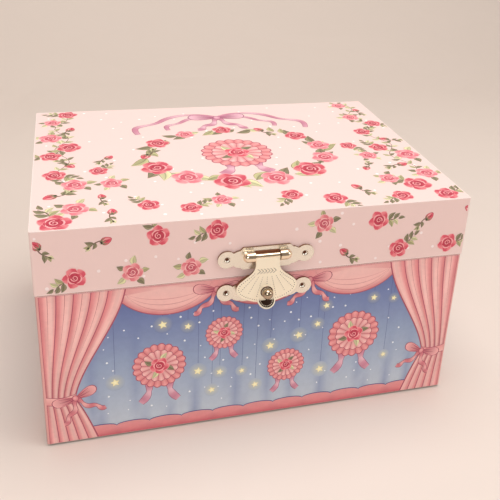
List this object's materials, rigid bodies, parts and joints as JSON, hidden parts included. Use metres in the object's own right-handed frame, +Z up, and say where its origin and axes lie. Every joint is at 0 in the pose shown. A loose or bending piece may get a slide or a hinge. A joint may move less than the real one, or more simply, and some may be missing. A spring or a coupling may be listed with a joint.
{
  "type": "musical jewellery box",
  "caption": "Paper-covered musical jewellery box with hinged mirror lid, sprung hasp, lined compartments, ring rolls, wind-up comb movement and folding dancer.",
  "frame": {"origin": "middle of the underside of the felt, on the table", "axes": "+Z up, -Y the front with the hasp, +X to the right seen from the front"},
  "size_m": [0.2, 0.164, 0.1115],
  "materials": {
    "board": "grey board",
    "paper_body": "printed, satin",
    "paper_lid": "printed, satin",
    "felt": "felt",
    "lining": "flocked",
    "velvet": "velvet",
    "divider": "flocked card",
    "plate_gold": "bright pale plate",
    "brass": "satin",
    "steel": "satin",
    "spring_steel": "polished",
    "cast": "cast, satin",
    "plastic_ivory": "gloss",
    "skin": "painted",
    "net": "net",
    "glass": "silvered",
    "fan": "gloss"
  },
  "bodies": {
    "case": {"front_board": "board", "back_board": "board", "side_boards": "board", "base_board": "board", "body_wrap": "paper_body", "base_felt": "felt", "body_lining": "lining", "floor_pads": "velvet", "cross_divider": "divider", "bay_dividers": "divider", "centre_divider": "divider", "deck": "divider", "ring_shelf": "divider", "ring_rolls": "velvet", "deck_bush": "plastic_ivory", "catch_plate": "plate_gold", "catch_post": "steel", "catch_brads": "steel", "hinge_leaves_body": "brass", "hinge_pins": "brass", "hinge_screws_body": "brass", "bedplate": "cast", "bedplate_screws": "steel", "comb": "spring_steel", "comb_screws": "steel", "governor_bracket": "cast"},
    "lid": {"lid_top_board": "board", "lid_wall_boards": "board", "lid_wrap": "paper_lid", "lid_lining": "lining", "mirror": "glass", "mirror_frame": "velvet", "hinge_leaves_lid": "brass", "hinge_screws_lid": "brass", "lid_plate": "plate_gold", "hasp_pin": "steel", "lid_plate_brads": "steel"},
    "hasp": {"hasp_leaf": "plate_gold", "hasp_knob": "plate_gold", "snap_clip": "steel"},
    "winding": {"winding_arbor": "steel", "winding_key": "brass", "ratchet_wheel": "steel"},
    "click": {"click": "steel"},
    "barrel": {"spring_barrel": "brass", "barrel_cap": "brass", "mainspring": "spring_steel"},
    "cylinder": {"pinned_cylinder": "brass", "spindle": "steel", "cylinder_wheel": "brass", "spring_socket": "plastic_ivory"},
    "idler": {"idler": "plastic_ivory"},
    "governor": {"governor": "fan"},
    "stop_wire": {"stop_wire": "steel"},
    "fold": {"dancer_spring": "spring_steel"},
    "dancer": {"dancer_cup": "plastic_ivory", "dancer": "skin", "tutu": "net"}
  },
  "joints": [
    {"name": "barrel_turn", "type": "hinge", "parent": "case", "child": "barrel", "pos_m": [0, 0.06, 0.028], "axis": [0, 1, 0], "continuous": true},
    {"name": "cylinder_turn", "type": "hinge", "parent": "case", "child": "cylinder", "pos_m": [0, 0.044, 0.04], "axis": [0, 0, 1], "continuous": true},
    {"name": "idler_turn", "type": "hinge", "parent": "case", "child": "idler", "pos_m": [-0.01222, 0.03955, 0.01], "axis": [0, 0, 1], "continuous": true},
    {"name": "governor_turn", "type": "hinge", "parent": "case", "child": "governor", "pos_m": [-0.02073, 0.04, 0.018], "axis": [0, 1, 0], "continuous": true},
    {"name": "lid_hinge", "type": "hinge", "parent": "case", "child": "lid", "pos_m": [0, 0.0757, 0.0808], "axis": [-1, 0, 0], "range_deg": [0, 100]},
    {"name": "hasp_pivot", "type": "hinge", "parent": "lid", "child": "hasp", "pos_m": [0, -0.0758, 0.0917], "axis": [-1, 0, 0], "range_deg": [0, 150], "deforming": ["snap_clip"]},
    {"name": "winding_turn", "type": "hinge", "parent": "case", "child": "winding", "pos_m": [0, 0.078, 0.028], "axis": [0, 1, 0], "continuous": true},
    {"name": "click_pivot", "type": "hinge", "parent": "case", "child": "click", "pos_m": [0.0082, 0.066, 0.0252], "axis": [0, 1, 0], "range_deg": [-5.4, 15]},
    {"name": "stop_slide", "type": "slide", "parent": "case", "child": "stop_wire", "axis": [0, 0, 1], "range_m": [0, 0.003]},
    {"name": "dancer_fold", "type": "hinge", "parent": "case", "child": "fold", "pos_m": [0, 0.041, 0.079], "axis": [-1, 0, 0], "range_deg": [0, 90], "deforming": ["dancer_spring"]},
    {"name": "dancer_spin", "type": "hinge", "parent": "fold", "child": "dancer", "pos_m": [0, 0.02, 0.082], "axis": [0, -1, 0], "continuous": true}
  ],
  "couplings": [
    {"joint": "cylinder_turn", "follows": "barrel_turn", "ratio": -2},
    {"joint": "idler_turn", "follows": "barrel_turn", "ratio": 6.6667},
    {"joint": "governor_turn", "follows": "barrel_turn", "ratio": 160},
    {"joint": "dancer_spin", "follows": "barrel_turn", "ratio": -2},
    {"joint": "stop_slide", "follows": "lid_hinge", "m_per_rad": 0.00171},
    {"joint": "dancer_fold", "follows": "lid_hinge", "ratio": 0.9}
  ]
}
